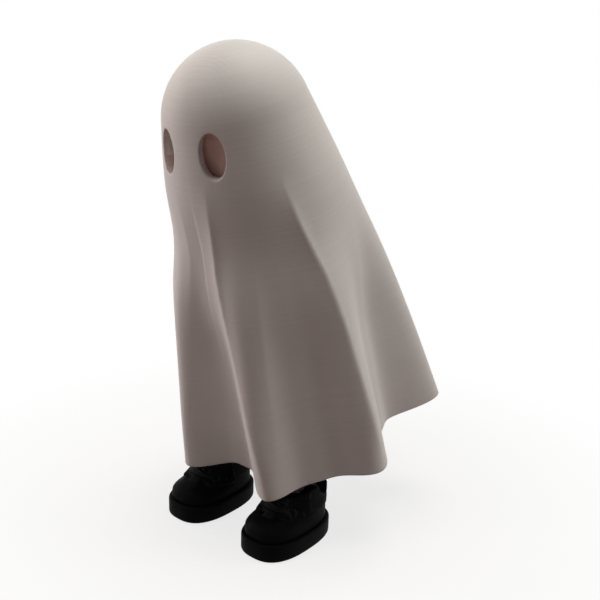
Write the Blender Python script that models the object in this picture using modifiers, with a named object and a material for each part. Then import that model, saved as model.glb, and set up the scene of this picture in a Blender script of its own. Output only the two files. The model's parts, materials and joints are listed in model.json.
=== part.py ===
"""Articulated ghost figurine: a rigid draped-sheet shell over a jointed body that stands in boots.

Metres, +Z up. The ghost faces -Y and its own left is +X. The body frame is the leaning frame of
the sheet, head, torso and pelvis, with its origin at the middle of the sheet's hem. The legs are
worked out from the hips, which lean with the body, and the ankles, which stay over the boots.
"""

import math

import bmesh
import bpy
from mathutils import Matrix, Vector

MM = 0.001

# Pose: how the standing figure leans
LEAN = math.radians(16.0)
HEM_BEHIND_BOOTS = 20.8 * MM
HEM_ABOVE_FLOOR = 24.5 * MM

# Clearances
FIT_GAP = 0.3 * MM
HEAD_GAP = 0.5 * MM
OVERLAP = 0.4 * MM

# Sheet
SHEET_HEIGHT = 114.3 * MM
SHEET_WALL = 2.4 * MM
DOME_RADIUS = 19.1 * MM
UNDERFORM_REACH = 40.7 * MM
UNDERFORM_SHIFT = 6.2 * MM
FOLDS_START = 0.12
FOLDS_FULL = 0.65
FOLD_SHARPNESS = 2.0
BACK_BULGE = 2.2 * MM
FACE_TUCK = 1.9 * MM
FACE_TUCK_HEIGHT = 68.0 * MM
FACE_TUCK_REACH = 11.4 * MM
HEM_SPARE = 1.5 * MM
# Each fold line down one side of the sheet, from the front round to the back: degrees from the
# front, reach of the hem there from the sheet's axis
FOLD_LINES = (
    (0.0, 23.8 * MM),
    (26.6, 35.4 * MM),
    (53.0, 29.8 * MM),
    (80.7, 37.0 * MM),
    (111.0, 27.8 * MM),
    (136.0, 45.1 * MM),
    (158.0, 33.0 * MM),
    (180.0, 46.0 * MM),
)
# Where the sheet's columns lie on the way from a valley, 0, to the next ridge, 1
COLUMN_SHARES = (0.0, 0.28, 0.52, 0.72, 0.88)
DOME_ROWS = 6
SKIRT_ROWS = 11
DOME_ROWS_END = math.radians(16.0)

# Eye holes
EYE_ANGLE = math.radians(22.6)
EYE_HEIGHT = 92.4 * MM
EYE_WIDTH = 7.4 * MM
EYE_TALL = 12.4 * MM
EYE_CUT_FROM = 0.6 * DOME_RADIUS
EYE_CUT_TO = 1.6 * DOME_RADIUS

# Head and neck
HEAD_BOTTOM = 79.5 * MM
HEAD_FLARE = 0.6 * MM
HEAD_EDGE = 1.6 * MM
NECK_RADIUS = 3.2 * MM
NECK_IN_HEAD = 9.0 * MM
NECK_IN_TORSO = 9.0 * MM

# Torso and pelvis
TORSO_TOP_RADIUS = 6.5 * MM
TORSO_CHEST_RADIUS = 10.0 * MM
TORSO_WAIST_RADIUS = 8.0 * MM
# The torso's outline between its flat ends: share of its height, radius
TORSO_OUTLINE = (
    (0.0, TORSO_WAIST_RADIUS),
    (0.15, TORSO_WAIST_RADIUS),
    (0.5, TORSO_CHEST_RADIUS),
    (0.68, TORSO_CHEST_RADIUS),
    (0.92, TORSO_TOP_RADIUS),
    (1.0, TORSO_TOP_RADIUS),
)
WAIST_PEG_RADIUS = 4.0 * MM
WAIST_PEG_LENGTH = 8.0 * MM
PELVIS_DEPTH = 9.6 * MM
PELVIS_TALL = 11.0 * MM
PELVIS_BEVEL = 1.2 * MM
HIP_BEHIND_AXIS = 3.0 * MM
HIP_ABOVE_HEM = 42.0 * MM

# Legs
LEG_SPACING = 29.4 * MM
# The knee's place: its share of the way from hip to ankle, and how far in front of that line
KNEE_SHARE = 0.505
KNEE_AHEAD = 1.8 * MM
THIGH_RADIUS = 3.6 * MM
SHIN_RADIUS = 3.6 * MM
KNUCKLE_HALF_WIDTH = 3.9 * MM
HIP_KNUCKLE_RADIUS = 4.8 * MM
KNEE_KNUCKLE_RADIUS = 4.2 * MM
KNEE_TONGUE_HALF_WIDTH = 1.5 * MM
KNEE_NECK_HALF_DEPTH = 2.7 * MM
ANKLE_KNUCKLE_RADIUS = 3.8 * MM

# Pins
HIP_PIN_RADIUS = 1.8 * MM
KNEE_PIN_RADIUS = 1.3 * MM
ANKLE_PIN_RADIUS = 1.3 * MM
PIN_HEAD_EXTRA = 1.0 * MM
PIN_HEAD_THICKNESS = 0.8 * MM
HIP_PIN_IN_PELVIS = 6.5 * MM

# Boots, measured from the middle of the sole
SOLE_LENGTH = 28.4 * MM
SOLE_WIDTH = 18.2 * MM
SOLE_THICKNESS = 5.2 * MM
SOLE_EDGE = 0.8 * MM
SOLE_SQUARENESS = 2.6
WELT = 0.9 * MM
INSTEP_HEIGHT = 12.6 * MM
COLLAR_HEIGHT = 16.0 * MM
SHAFT_BEHIND_MIDDLE = 5.2 * MM
SHAFT_LENGTH = 14.8 * MM
SHAFT_WIDTH = 13.8 * MM
ANKLE_HEIGHT = 10.6 * MM
WELL_LENGTH = 11.8 * MM
WELL_SIDE_GAP = 0.5 * MM
WELL_SQUARENESS = 6.0
TOE_CAP_LENGTH = 6.2 * MM
TOE_CAP_HEIGHT = 10.0 * MM
TOE_FULLNESS = 3.4
TOE_ROUNDNESS = 2.6
# How much narrower the boot gets over its toe, and the height and places between which it does
TOE_TAPER = 0.3
TOE_TAPER_FROM = 7.2 * MM
TOE_TAPER_BACK = 3.0 * MM
TOE_TAPER_FRONT = -9.0 * MM
NOTCH_RADIUS = 2.9 * MM
NOTCH_FROM_BACK = 2.6 * MM
BOOT_OUTLINE_POINTS = 28
# The upper's sections: shares of the way up its toe cap
TOE_CAP_RISES = (0.0, 0.3, 0.55, 0.72, 0.84, 0.93, 0.98, 1.0)
LACE_RADIUS = 0.4 * MM
LACE_CROSSINGS = 3
LACE_STEPS = 10
LACE_HALF_SWEEP = math.radians(42.0)
LACE_TURN_STEPS = 6
LACE_TURN_SWEEP = math.radians(6.0)
LACE_GAP = 0.45 * MM
LACE_FIRST_ABOVE_CAP = 0.1 * MM
LACE_LAST_BELOW_INSTEP = 0.4 * MM
TAB_WIDTH = 4.6 * MM
TAB_THICKNESS = 1.0 * MM
TAB_LENGTH = 8.2 * MM
TAB_ABOVE_COLLAR = 1.4 * MM
TAB_BEVEL = 0.35 * MM

ROUND = 24
SHARP_EDGE = math.radians(35.0)

# Sizes that follow from the ones above
DOME_CENTRE = SHEET_HEIGHT - DOME_RADIUS
HEAD_RADIUS = DOME_RADIUS - SHEET_WALL - HEAD_GAP
LEG_X = LEG_SPACING / 2
PELVIS_HALF_WIDTH = LEG_X - KNUCKLE_HALF_WIDTH - FIT_GAP
TORSO_TOP = HEAD_BOTTOM - FIT_GAP
TORSO_BOTTOM = HIP_ABOVE_HEM + PELVIS_TALL / 2 + FIT_GAP
UPPER_BOTTOM = SOLE_THICKNESS + FIT_GAP
SHAFT_FRONT = SHAFT_BEHIND_MIDDLE - SHAFT_LENGTH / 2
SHAFT_BACK = SHAFT_BEHIND_MIDDLE + SHAFT_LENGTH / 2
TOE_FRONT = -SOLE_LENGTH / 2 + WELT
TOE_CAP_BACK = TOE_FRONT + TOE_CAP_LENGTH
UPPER_WIDTH = SOLE_WIDTH - 2 * WELT


def clear_scene():
    for thing in list(bpy.data.objects):
        bpy.data.objects.remove(thing, do_unlink=True)


def make_collection(name):
    group = bpy.data.collections.new(name)
    bpy.context.scene.collection.children.link(group)
    return group


def make_material(name, colour, roughness):
    material = bpy.data.materials.new(name)
    material.use_nodes = True
    shader = material.node_tree.nodes["Principled BSDF"]
    shader.inputs["Base Color"].default_value = (*colour, 1.0)
    shader.inputs["Roughness"].default_value = roughness
    shader.inputs["Metallic"].default_value = 0.0
    return material


clear_scene()
PARTS = make_collection("ghost_figurine")
CUTTERS = make_collection("cutters")
WHITE_PLA = make_material("sheet_white", (0.86, 0.84, 0.82), 0.55)
LIMB_PLA = make_material("limb_white", (0.84, 0.82, 0.80), 0.55)
SALMON_PLA = make_material("head_salmon", (0.90, 0.62, 0.55), 0.60)
BLACK_PLA = make_material("boot_black", (0.012, 0.012, 0.014), 0.50)
BLACK_LACE = make_material("lace_black", (0.018, 0.018, 0.020), 0.70)


def empty(name, parent=None, place=(0, 0, 0), tilt=0.0):
    """A frame that pieces are parented to: its origin is a joint's axis or a foot's place."""
    frame = bpy.data.objects.new(name, None)
    frame.location = place
    frame.rotation_euler = (tilt, 0, 0)
    frame.parent = parent
    frame.empty_display_size = 5 * MM
    PARTS.objects.link(frame)
    return frame


def add_piece(name, bm, material, parent=None, place=(0, 0, 0), tilt=0.0):
    """Makes a sub-part from a bmesh, whose own origin is the piece's joint or seat."""
    bmesh.ops.recalc_face_normals(bm, faces=bm.faces)
    mesh = bpy.data.meshes.new(name)
    bm.to_mesh(mesh)
    bm.free()
    mesh.materials.append(material)
    piece = bpy.data.objects.new(name, mesh)
    piece.location = place
    piece.rotation_euler = (tilt, 0, 0)
    piece.parent = parent
    PARTS.objects.link(piece)
    mesh.shade_smooth()
    mesh.set_sharp_from_angle(angle=SHARP_EDGE)
    return piece


def add_tool(piece, bm, operation, label, place=(0, 0, 0)):
    """Joins a shape to a piece, or cuts it out, given in the piece's own frame."""
    bmesh.ops.recalc_face_normals(bm, faces=bm.faces)
    mesh = bpy.data.meshes.new(label)
    bm.to_mesh(mesh)
    bm.free()
    tool = bpy.data.objects.new(f"{piece.name}_{label}", mesh)
    tool.parent = piece
    tool.location = place
    tool.hide_render = True
    tool.display_type = "WIRE"
    CUTTERS.objects.link(tool)
    step = piece.modifiers.new(label, "BOOLEAN")
    step.operation = operation
    step.solver = "EXACT"
    step.object = tool
    return tool


def join(piece, bm, label, place=(0, 0, 0)):
    add_tool(piece, bm, "UNION", label, place)


def cut(piece, bm, label, place=(0, 0, 0)):
    add_tool(piece, bm, "DIFFERENCE", label, place)


def cylinder(radius, low, high, axis="Z"):
    """A capped cylinder from low to high along an axis."""
    bm = bmesh.new()
    bmesh.ops.create_cone(
        bm, cap_ends=True, segments=ROUND, radius1=radius, radius2=radius, depth=high - low
    )
    bmesh.ops.translate(bm, verts=bm.verts, vec=(0, 0, (low + high) / 2))
    if axis == "X":
        bmesh.ops.rotate(bm, verts=bm.verts, matrix=Matrix.Rotation(math.pi / 2, 3, "Y"))
    return bm


def block(low, high):
    """A box between two corners."""
    bm = bmesh.new()
    bmesh.ops.create_cube(bm, size=1.0)
    low, high = Vector(low), Vector(high)
    bmesh.ops.scale(bm, verts=bm.verts, vec=high - low)
    bmesh.ops.translate(bm, verts=bm.verts, vec=(low + high) / 2)
    return bm


def turned(profile, segments=ROUND):
    """A solid of revolution about Z, from (radius, height) points that start and end on the axis."""
    bm = bmesh.new()
    rings = []
    for radius, height in profile:
        if radius < 1e-7:
            rings.append([bm.verts.new((0, 0, height))])
            continue
        ring = []
        for k in range(segments):
            turn = 2 * math.pi * k / segments
            ring.append(bm.verts.new((radius * math.cos(turn), radius * math.sin(turn), height)))
        rings.append(ring)
    for lower, upper in zip(rings, rings[1:]):
        for k in range(segments):
            corners = [
                lower[k % len(lower)],
                lower[(k + 1) % len(lower)],
                upper[(k + 1) % len(upper)],
                upper[k % len(upper)],
            ]
            bm.faces.new(list(dict.fromkeys(corners)))
    return bm


def loft(sections):
    """A capped solid through closed sections that have equal numbers of points."""
    bm = bmesh.new()
    rings = [[bm.verts.new(point) for point in section] for section in sections]
    count = len(rings[0])
    for lower, upper in zip(rings, rings[1:]):
        for k in range(count):
            bm.faces.new((lower[k], lower[(k + 1) % count], upper[(k + 1) % count], upper[k]))
    bm.faces.new(rings[0])
    bm.faces.new(rings[-1])
    return bm


def smoothstep(value, low, high):
    t = min(max((value - low) / (high - low), 0.0), 1.0)
    return t * t * (3 - 2 * t)


# The sheet's form


def hem_reach(angle, sharpness):
    """How far the hem stands from the sheet's axis at an angle from the front, in degrees."""
    folded = abs((angle + 180.0) % 360.0 - 180.0)
    for (start, first), (end, second) in zip(FOLD_LINES, FOLD_LINES[1:]):
        if folded <= end:
            break
    valley_first = first < second
    share = (folded - start) / (end - start)
    climb = share if valley_first else 1 - share
    low, high = min(first, second), max(first, second)
    return low + (high - low) * (0.5 - 0.5 * math.cos(math.pi * climb)) ** sharpness


def sheet_radius(angle, height):
    """The sheet's outer radius at an angle from the front, in degrees, and a height over the hem."""
    drop = min(max(1 - height / DOME_CENTRE, 0.0), 1.0)
    gather = smoothstep(drop, FOLDS_START, FOLDS_FULL)
    under = UNDERFORM_REACH - UNDERFORM_SHIFT * math.cos(math.radians(angle))
    folded = hem_reach(angle, 1 + (FOLD_SHARPNESS - 1) * drop)
    reach = under + (folded - under) * gather
    # The skirt is a straight line from the hem's reach that meets the dome at a tangent.
    span = math.hypot(reach, DOME_CENTRE)
    rise = math.acos(DOME_RADIUS / span) - math.atan2(DOME_CENTRE, reach)
    meet = DOME_CENTRE + DOME_RADIUS * math.sin(rise)
    if height >= meet:
        return math.sqrt(max(DOME_RADIUS**2 - (height - DOME_CENTRE) ** 2, 0.0))
    slope = DOME_RADIUS * math.cos(rise) + (meet - height) * math.tan(rise)
    back_share = 0.5 - 0.5 * math.cos(math.radians(angle))
    bulge = BACK_BULGE * math.sin(math.pi * min((meet - height) / meet, 1.0))
    tuck = FACE_TUCK * math.exp(-(((height - FACE_TUCK_HEIGHT) / FACE_TUCK_REACH) ** 2))
    return slope + back_share * bulge - (1 - back_share) * tuck


def sheet_point(angle, height):
    radius = sheet_radius(angle, height)
    turn = math.radians(angle)
    return (radius * math.sin(turn), -radius * math.cos(turn), height)


def sheet_angles():
    """The angles of the sheet's columns, closer together at the ridges than in the valleys."""
    half = []
    for (start, first), (end, second) in zip(FOLD_LINES, FOLD_LINES[1:]):
        if first < second:
            half += [start + (end - start) * share for share in COLUMN_SHARES]
        else:
            half += [start] + [end - (end - start) * share for share in reversed(COLUMN_SHARES[1:])]
    return half + [180.0] + [-angle for angle in reversed(half) if angle > 0.0]


def make_sheet(parent):
    """The draped sheet: one surface from dome to hem, made a shell, cut level at the hem and at the eyes."""
    angles = sheet_angles()
    heights = []
    for k in range(1, DOME_ROWS + 1):
        elevation = math.pi / 2 + (DOME_ROWS_END - math.pi / 2) * k / DOME_ROWS
        heights.append(DOME_CENTRE + DOME_RADIUS * math.sin(elevation))
    dome_end = heights[-1]
    heights += [dome_end * (1 - k / SKIRT_ROWS) for k in range(1, SKIRT_ROWS)]
    heights.append(-HEM_SPARE)
    bm = bmesh.new()
    top = bm.verts.new((0, 0, SHEET_HEIGHT))
    rows = [[bm.verts.new(sheet_point(angle, height)) for angle in angles] for height in heights]
    count = len(angles)
    for k in range(count):
        bm.faces.new((top, rows[0][k], rows[0][(k + 1) % count]))
    for upper, lower in zip(rows, rows[1:]):
        for k in range(count):
            bm.faces.new((upper[k], lower[k], lower[(k + 1) % count], upper[(k + 1) % count]))
    sheet = add_piece("sheet", bm, WHITE_PLA, parent)
    shell = sheet.modifiers.new("shell", "SOLIDIFY")
    shell.thickness = SHEET_WALL
    shell.offset = -1.0
    shell.use_even_offset = True
    below = block((-SHEET_HEIGHT, -SHEET_HEIGHT, -SHEET_HEIGHT), (SHEET_HEIGHT, SHEET_HEIGHT, 0))
    cut(sheet, below, "hem")
    for side, label in ((1, "left"), (-1, "right")):
        cut(sheet, eye_cutter(side), f"eye_hole_{label}")
    return sheet


def eye_cutter(side):
    """An upright oval that runs straight out from the sheet's axis through its wall."""
    bm = cylinder(EYE_WIDTH / 2, EYE_CUT_FROM, EYE_CUT_TO)
    bmesh.ops.scale(bm, verts=bm.verts, vec=(1, EYE_TALL / EYE_WIDTH, 1))
    bmesh.ops.rotate(bm, verts=bm.verts, matrix=Matrix.Rotation(math.pi / 2, 3, "X"))
    bmesh.ops.rotate(bm, verts=bm.verts, matrix=Matrix.Rotation(side * EYE_ANGLE, 3, "Z"))
    bmesh.ops.translate(bm, verts=bm.verts, vec=(0, 0, EYE_HEIGHT))
    return bm


# The body that leans with the sheet


def make_head(parent):
    """The inner head: a dome over a slightly flared drum, with a blind hole for the neck peg."""
    low_radius = HEAD_RADIUS + HEAD_FLARE
    profile = [(0.0, DOME_CENTRE + HEAD_RADIUS)]
    for degrees in range(75, -1, -15):
        rise = math.radians(degrees)
        profile.append((HEAD_RADIUS * math.cos(rise), DOME_CENTRE + HEAD_RADIUS * math.sin(rise)))
    profile.append((low_radius, HEAD_BOTTOM + HEAD_EDGE))
    profile.append((low_radius - HEAD_EDGE, HEAD_BOTTOM))
    profile.append((0.0, HEAD_BOTTOM))
    head = add_piece("inner_head", turned(profile, 2 * ROUND), SALMON_PLA, parent)
    socket_top = HEAD_BOTTOM + NECK_IN_HEAD + FIT_GAP
    cut(head, cylinder(NECK_RADIUS + FIT_GAP, HEAD_BOTTOM - OVERLAP, socket_top), "neck_socket")
    return head


def make_torso(parent):
    """The torso: a turned post with a hole for the neck peg on top and one for the waist peg below."""
    tall = TORSO_TOP - TORSO_BOTTOM
    outline = [(radius, TORSO_BOTTOM + share * tall) for share, radius in TORSO_OUTLINE]
    profile = [(0.0, TORSO_BOTTOM), *outline, (0.0, TORSO_TOP)]
    torso = add_piece("torso", turned(profile), LIMB_PLA, parent)
    waist_top = TORSO_BOTTOM + WAIST_PEG_LENGTH
    waist = cylinder(WAIST_PEG_RADIUS + FIT_GAP, TORSO_BOTTOM - OVERLAP, waist_top)
    cut(torso, waist, "waist_socket")
    neck_low = TORSO_TOP - NECK_IN_TORSO - FIT_GAP
    cut(torso, cylinder(NECK_RADIUS + FIT_GAP, neck_low, TORSO_TOP + OVERLAP), "neck_socket")
    return torso


def make_neck_peg(parent):
    """The neck peg: set in the torso, with the head turning on its upper half."""
    bm = cylinder(NECK_RADIUS, TORSO_TOP - NECK_IN_TORSO, HEAD_BOTTOM + NECK_IN_HEAD)
    return add_piece("neck_peg", bm, LIMB_PLA, parent)


def make_pelvis(parent):
    """The pelvis: a cross block bored for both hip pins, with a peg up into the torso."""
    low = (-PELVIS_HALF_WIDTH, HIP_BEHIND_AXIS - PELVIS_DEPTH / 2, HIP_ABOVE_HEM - PELVIS_TALL / 2)
    high = (PELVIS_HALF_WIDTH, HIP_BEHIND_AXIS + PELVIS_DEPTH / 2, HIP_ABOVE_HEM + PELVIS_TALL / 2)
    pelvis = add_piece("pelvis", block(low, high), LIMB_PLA, parent)
    edges = pelvis.modifiers.new("edges", "BEVEL")
    edges.width = PELVIS_BEVEL
    edges.segments = 2
    peg_top = TORSO_BOTTOM + WAIST_PEG_LENGTH - FIT_GAP
    join(pelvis, cylinder(WAIST_PEG_RADIUS, HIP_ABOVE_HEM, peg_top), "waist_peg")
    depth = HIP_PIN_IN_PELVIS + FIT_GAP
    for side, label in ((1, "left"), (-1, "right")):
        ends = sorted((side * (PELVIS_HALF_WIDTH + OVERLAP), side * (PELVIS_HALF_WIDTH - depth)))
        bore = cylinder(HIP_PIN_RADIUS + FIT_GAP, ends[0], ends[1], "X")
        cut(pelvis, bore, f"hip_bore_{label}", (0, HIP_BEHIND_AXIS, HIP_ABOVE_HEM))
    return pelvis


# The legs


def body_to_world(y, z):
    """A point on the body's middle plane, from the leaning body frame to the standing one."""
    lean = Matrix.Rotation(LEAN, 3, "X")
    place = lean @ Vector((0, y, z))
    return place + Vector((0, HEM_BEHIND_BOOTS, HEM_ABOVE_FLOOR))


def knee_between(hip, ankle):
    """Where the knee lies, with the leg bent forwards between the hip and the ankle."""
    reach = ankle - hip
    forwards = Vector((0, reach.z, -reach.y)).normalized()
    return hip + KNEE_SHARE * reach + KNEE_AHEAD * forwards


def tilt_of(top, bottom):
    """The turn about X that points a piece's own -Z from one joint to the next."""
    return math.atan2(bottom.y - top.y, top.z - bottom.z)


def make_thigh(name, parent, hip, knee):
    """A thigh: a round bar with a knuckle on the hip pin and a fork over the knee pin."""
    length = (knee - hip).length
    bar = cylinder(THIGH_RADIUS, -length, 0.0)
    thigh = add_piece(name, bar, LIMB_PLA, parent, hip, tilt_of(hip, knee))
    knuckle = cylinder(HIP_KNUCKLE_RADIUS, -KNUCKLE_HALF_WIDTH, KNUCKLE_HALF_WIDTH, "X")
    join(thigh, knuckle, "hip_knuckle")
    fork_place = (0, 0, -length)
    fork = cylinder(KNEE_KNUCKLE_RADIUS, -KNUCKLE_HALF_WIDTH, KNUCKLE_HALF_WIDTH, "X")
    join(thigh, fork, "knee_knuckle", fork_place)
    slot_half = KNEE_TONGUE_HALF_WIDTH + FIT_GAP
    slot_top = KNEE_KNUCKLE_RADIUS + 2 * FIT_GAP
    slot_side = 2 * slot_top
    slot = block((-slot_half, -slot_side, -slot_side), (slot_half, slot_side, slot_top))
    cut(thigh, slot, "knee_slot", fork_place)
    through = KNUCKLE_HALF_WIDTH + OVERLAP
    cut(thigh, cylinder(HIP_PIN_RADIUS + FIT_GAP, -through, through, "X"), "hip_bore")
    knee_bore = cylinder(KNEE_PIN_RADIUS + FIT_GAP, -through, through, "X")
    cut(thigh, knee_bore, "knee_bore", fork_place)
    return thigh


def make_shin(name, parent, knee, ankle):
    """A shin: a round bar with a tongue in the knee's fork and a knuckle on the ankle pin."""
    length = (ankle - knee).length
    bar_top = -KNEE_KNUCKLE_RADIUS - 2 * FIT_GAP
    bar = cylinder(SHIN_RADIUS, -length, bar_top)
    shin = add_piece(name, bar, LIMB_PLA, parent, knee, tilt_of(knee, ankle))
    half = KNEE_TONGUE_HALF_WIDTH
    join(shin, cylinder(KNEE_KNUCKLE_RADIUS, -half, half, "X"), "knee_tongue")
    deep = KNEE_NECK_HALF_DEPTH
    join(shin, block((-half, -deep, bar_top - SHIN_RADIUS), (half, deep, 0)), "knee_neck")
    foot_place = (0, 0, -length)
    foot = cylinder(ANKLE_KNUCKLE_RADIUS, -KNUCKLE_HALF_WIDTH, KNUCKLE_HALF_WIDTH, "X")
    join(shin, foot, "ankle_knuckle", foot_place)
    through = KNUCKLE_HALF_WIDTH + OVERLAP
    cut(shin, cylinder(KNEE_PIN_RADIUS + FIT_GAP, -through, through, "X"), "knee_bore")
    ankle_bore = cylinder(ANKLE_PIN_RADIUS + FIT_GAP, -through, through, "X")
    cut(shin, ankle_bore, "ankle_bore", foot_place)
    return shin


def make_pin(name, parent, place, radius, ends, side, headed, material):
    """A cross pin along X from its inner end to its outer one, with a flat head there if wanted."""
    inner, outer = ends
    shank_end = outer + PIN_HEAD_THICKNESS / 2 if headed else outer
    shank = sorted((side * inner, side * shank_end))
    pin = add_piece(name, cylinder(radius, shank[0], shank[1], "X"), material, parent, place)
    if headed:
        rims = sorted((side * outer, side * (outer + PIN_HEAD_THICKNESS)))
        join(pin, cylinder(radius + PIN_HEAD_EXTRA, rims[0], rims[1], "X"), "head")
    return pin


# The boots


def oblong_point(turn, front, back, half_width, height, squareness):
    """A point of a rounded oblong in a level plane, turned from its front about its middle."""
    across = math.copysign(abs(math.sin(turn)) ** (2 / squareness), math.sin(turn))
    along = math.copysign(abs(math.cos(turn)) ** (2 / squareness), math.cos(turn))
    return Vector((half_width * across, (front + back) / 2 - along * (back - front) / 2, height))


def outline_turns():
    return [2 * math.pi * k / BOOT_OUTLINE_POINTS for k in range(BOOT_OUTLINE_POINTS)]


def oblong(half_length, half_width, height, squareness):
    """A whole rounded oblong about the origin, in a level plane."""
    return [
        oblong_point(turn, -half_length, half_length, half_width, height, squareness)
        for turn in outline_turns()
    ]


def upper_section(height, turn):
    """A point of the boot upper's surface at a height, turned from the toe about the boot's middle."""
    rise = min((height - UPPER_BOTTOM) / (INSTEP_HEIGHT - UPPER_BOTTOM), 1.0)
    half_width = SHAFT_WIDTH / 2 + (UPPER_WIDTH - SHAFT_WIDTH) / 2 * (1 - rise**2)
    cap_rise = min((height - UPPER_BOTTOM) / (TOE_CAP_HEIGHT - UPPER_BOTTOM), 1.0)
    front = TOE_CAP_BACK
    front += (TOE_FRONT - TOE_CAP_BACK) * (1 - cap_rise**TOE_FULLNESS) ** (1 / TOE_ROUNDNESS)
    if height > TOE_CAP_HEIGHT:
        share = min((height - TOE_CAP_HEIGHT) / (INSTEP_HEIGHT - TOE_CAP_HEIGHT), 1.0)
        front += (SHAFT_FRONT - TOE_CAP_BACK) * share
    point = oblong_point(turn, front, SHAFT_BACK, half_width, height, SOLE_SQUARENESS)
    taper = smoothstep(height, TOE_TAPER_FROM, TOE_CAP_HEIGHT)
    taper *= smoothstep(-point.y, -TOE_TAPER_BACK, -TOE_TAPER_FRONT)
    point.x *= 1 - TOE_TAPER * taper
    return point


def make_sole(name, parent):
    """The sole: a thick oblong slab with a softened tread edge."""
    levels = (
        (0.0, SOLE_EDGE),
        (SOLE_EDGE, 0.0),
        (SOLE_THICKNESS - SOLE_EDGE / 2, 0.0),
        (SOLE_THICKNESS, SOLE_EDGE / 2),
    )
    sections = [
        oblong(SOLE_LENGTH / 2 - inset, SOLE_WIDTH / 2 - inset, height, SOLE_SQUARENESS)
        for height, inset in levels
    ]
    return add_piece(name, loft(sections), BLACK_PLA, parent)


def make_upper(name, parent, side):
    """The boot upper: toe cap, instep and shaft, with a well for the foot and a notched collar."""
    heights = [UPPER_BOTTOM + rise * (TOE_CAP_HEIGHT - UPPER_BOTTOM) for rise in TOE_CAP_RISES]
    heights += [(TOE_CAP_HEIGHT + INSTEP_HEIGHT) / 2, INSTEP_HEIGHT, COLLAR_HEIGHT]
    sections = [[upper_section(height, turn) for turn in outline_turns()] for height in heights]
    upper = add_piece(name, loft(sections), BLACK_PLA, parent)
    well_floor = ANKLE_HEIGHT - ANKLE_KNUCKLE_RADIUS - FIT_GAP
    well_half = KNUCKLE_HALF_WIDTH + WELL_SIDE_GAP
    well = [
        oblong(WELL_LENGTH / 2, well_half, height, WELL_SQUARENESS)
        for height in (well_floor, COLLAR_HEIGHT + OVERLAP)
    ]
    cut(upper, loft(well), "foot_well", (0, SHAFT_BEHIND_MIDDLE, 0))
    notch = cylinder(NOTCH_RADIUS, -SOLE_WIDTH / 2, SOLE_WIDTH / 2, "X")
    cut(upper, notch, "collar_notch", (0, SHAFT_BACK - NOTCH_FROM_BACK, COLLAR_HEIGHT))
    inner, outer = ankle_pin_ends()
    ends = sorted((side * (inner - SOLE_WIDTH), side * (outer + FIT_GAP)))
    bore = cylinder(ANKLE_PIN_RADIUS + FIT_GAP, ends[0], ends[1], "X")
    cut(upper, bore, "ankle_bore", (0, SHAFT_BEHIND_MIDDLE, ANKLE_HEIGHT))
    return upper


def ankle_pin_ends():
    """The ankle pin's inner end, in the shaft's face, and its outer one, half-way through the wall."""
    return -SHAFT_WIDTH / 2, (SHAFT_WIDTH / 2 + KNUCKLE_HALF_WIDTH) / 2


def surface_normal(height, turn):
    """The direction straight out of the boot upper at a height and a turn."""
    step = 0.02 * MM
    swing = 0.01
    along = upper_section(height, turn + swing) - upper_section(height, turn - swing)
    up = upper_section(height + step, turn) - upper_section(height - step, turn)
    normal = along.cross(up).normalized()
    outward = Vector((math.sin(turn), -math.cos(turn), 0.0))
    return normal if normal.dot(outward) > 0 else -normal


def lace_route():
    """The cord's way over the instep, as heights and turns: level crossings joined by half-round turns."""
    first = TOE_CAP_HEIGHT + LACE_FIRST_ABOVE_CAP
    last = INSTEP_HEIGHT - LACE_LAST_BELOW_INSTEP
    pitch = (last - first) / (LACE_CROSSINGS - 1)
    route = []
    for crossing in range(LACE_CROSSINGS):
        height = first + pitch * crossing
        side = 1 - 2 * (crossing % 2)
        for k in range(LACE_STEPS + 1):
            route.append((height, side * LACE_HALF_SWEEP * (1 - 2 * k / LACE_STEPS)))
        if crossing == LACE_CROSSINGS - 1:
            break
        for k in range(1, LACE_TURN_STEPS):
            swing = math.pi * k / LACE_TURN_STEPS
            sweep = LACE_HALF_SWEEP + LACE_TURN_SWEEP * math.sin(swing)
            route.append((height + pitch / 2 * (1 - math.cos(swing)), -side * sweep))
    return route


def make_laces(name, parent):
    """The laces: one round cord that crosses the instep from side to side up to the shaft."""
    stand_off = LACE_RADIUS + LACE_GAP
    points = [
        upper_section(height, sweep) + stand_off * surface_normal(height, sweep)
        for height, sweep in lace_route()
    ]
    curve = bpy.data.curves.new(name, "CURVE")
    curve.dimensions = "3D"
    curve.bevel_depth = LACE_RADIUS
    curve.bevel_resolution = 1
    curve.use_fill_caps = True
    spline = curve.splines.new("POLY")
    spline.points.add(len(points) - 1)
    for target, point in zip(spline.points, points):
        target.co = (*point, 1.0)
    curve.materials.append(BLACK_LACE)
    lace = bpy.data.objects.new(name, curve)
    lace.parent = parent
    PARTS.objects.link(lace)
    return lace


def make_pull_tab(name, parent):
    """The pull tab: a narrow strap up the back of the shaft."""
    top = COLLAR_HEIGHT + TAB_ABOVE_COLLAR
    front = SHAFT_BACK + FIT_GAP
    low = (-TAB_WIDTH / 2, front, top - TAB_LENGTH)
    high = (TAB_WIDTH / 2, front + TAB_THICKNESS, top)
    strap = add_piece(name, block(low, high), BLACK_PLA, parent)
    edges = strap.modifiers.new("edges", "BEVEL")
    edges.width = TAB_BEVEL
    edges.segments = 2
    return strap


# Assembly


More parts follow.
